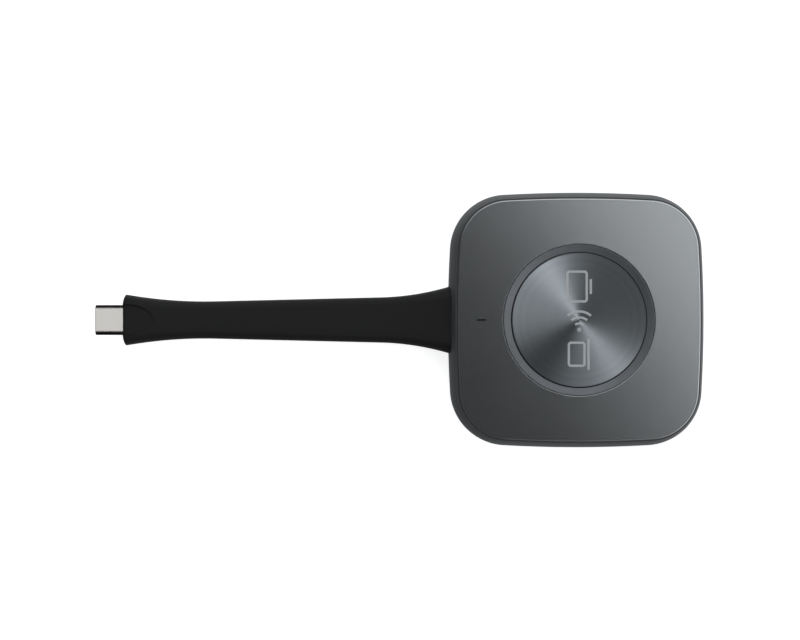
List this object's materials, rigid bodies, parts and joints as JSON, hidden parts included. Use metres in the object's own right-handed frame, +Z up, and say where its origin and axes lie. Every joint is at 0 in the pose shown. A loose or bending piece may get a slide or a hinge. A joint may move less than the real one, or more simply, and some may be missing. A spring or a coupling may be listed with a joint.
{
  "type": "screen sharing dongle",
  "caption": "Rounded-square puck with a large round push button in a satin metal plate, and a short flat moulded strap that ends in a USB-C plug.",
  "frame": {"origin": "middle of the foot's underside, below the middle of the button", "axes": "+Z up out of the button, +X away from the strap along the length, so the plug points to -X"},
  "size_m": [0.1666, 0.07, 0.015],
  "materials": {
    "shell_plastic": "fine matt texture",
    "anodised_plate": "satin anodised, bright cut edges",
    "spun_metal": "spun, fine concentric lines",
    "smoked_diffuser": "smoked satin diffuser",
    "clear_lens": "smoked clear lens",
    "strap_elastomer": "matt moulded elastomer",
    "silicone_foot": "matt silicone",
    "cable_jacket": "smooth jacket",
    "thermal_rubber": "soft filled silicone",
    "inner_plastic": "moulded",
    "connector_plastic": "moulded",
    "plug_plastic": "moulded",
    "led_package": "moulded package",
    "flex_circuit": "polyimide film",
    "adhesive_film": "bonding film",
    "circuit_board": "solder mask",
    "chip_package": "moulded epoxy",
    "ceramic_part": "sintered",
    "ferrite_part": "pressed ferrite",
    "screw_steel": "zinc plated",
    "spring_steel": "drawn wire and strip",
    "shield_metal": "tinned steel",
    "antenna_metal": "stamped",
    "heat_metal": "mill finish",
    "ferrule_brass": "crimped",
    "contact_gold": "gold plated",
    "plug_nickel": "nickel plated"
  },
  "bodies": {
    "housing": {"lower_shell": "shell_plastic", "upper_frame": "shell_plastic", "top_plate": "anodised_plate", "plate_adhesive": "adhesive_film", "foot_pad": "silicone_foot", "pad_adhesive": "adhesive_film", "case_screws": "screw_steel", "board_screws": "screw_steel", "light_ring": "smoked_diffuser", "return_springs": "spring_steel", "button_bracket": "inner_plastic", "bracket_screws": "screw_steel", "ring_board": "circuit_board", "ring_leds": "led_package", "led_connector": "connector_plastic", "led_flex": "flex_circuit", "indicator_lens": "clear_lens", "indicator_board": "circuit_board", "indicator_led": "led_package", "indicator_flex": "flex_circuit", "main_board": "circuit_board", "heat_spreader": "heat_metal", "thermal_pad": "thermal_rubber", "processor": "chip_package", "memory_chip": "chip_package", "power_chip": "chip_package", "wifi_module": "shield_metal", "shield_can": "shield_metal", "inductors": "ferrite_part", "capacitors": "ceramic_part", "antenna_side": "antenna_metal", "antenna_rear": "antenna_metal", "switch_base": "connector_plastic", "switch_cover": "shield_metal", "switch_dome": "spring_steel", "strap_clamp": "inner_plastic", "clamp_screws": "screw_steel", "cable_ferrule": "ferrule_brass", "board_socket": "connector_plastic", "cable_plug": "connector_plastic"},
    "button": {"button_cap": "spun_metal", "cap_adhesive": "adhesive_film", "button_carrier": "inner_plastic"},
    "switch_plunger": {"switch_plunger": "inner_plastic"},
    "strap": {"strap": "strap_elastomer", "inner_cable": "cable_jacket"},
    "plug": {"plug_shell": "plug_nickel", "plug_insulator": "plug_plastic", "plug_contacts": "contact_gold", "plug_latch_springs": "spring_steel", "plug_board": "circuit_board", "plug_chip": "chip_package", "plug_inner_mould": "inner_plastic"}
  },
  "joints": [
    {"name": "button_press", "type": "slide", "parent": "housing", "child": "button", "axis": [0, 0, -1], "range_m": [0, 0.0005], "stiffness_N_per_m": 1500, "springref_m": -0.0004, "deforming": ["return_springs", "switch_dome"]},
    {"name": "switch_press", "type": "slide", "parent": "housing", "child": "switch_plunger", "axis": [0, 0, -1], "range_m": [0, 0.0005]},
    {"name": "strap_flex", "type": "hinge", "parent": "housing", "child": "strap", "pos_m": [-0.05, 0, 0.0072], "axis": [0, 1, 0], "range_deg": [-60, 60], "stiffness_Nm_per_rad": 0.12, "deforming": ["strap", "inner_cable"]},
    {"name": "plug_flex", "type": "hinge", "parent": "strap", "child": "plug", "pos_m": [-0.1, 0, 0.0072], "axis": [0, 1, 0], "range_deg": [-60, 60], "stiffness_Nm_per_rad": 0.12, "deforming": ["strap", "inner_cable"]}
  ],
  "couplings": [
    {"joint": "switch_press", "follows": "button_press", "ratio": 1}
  ]
}
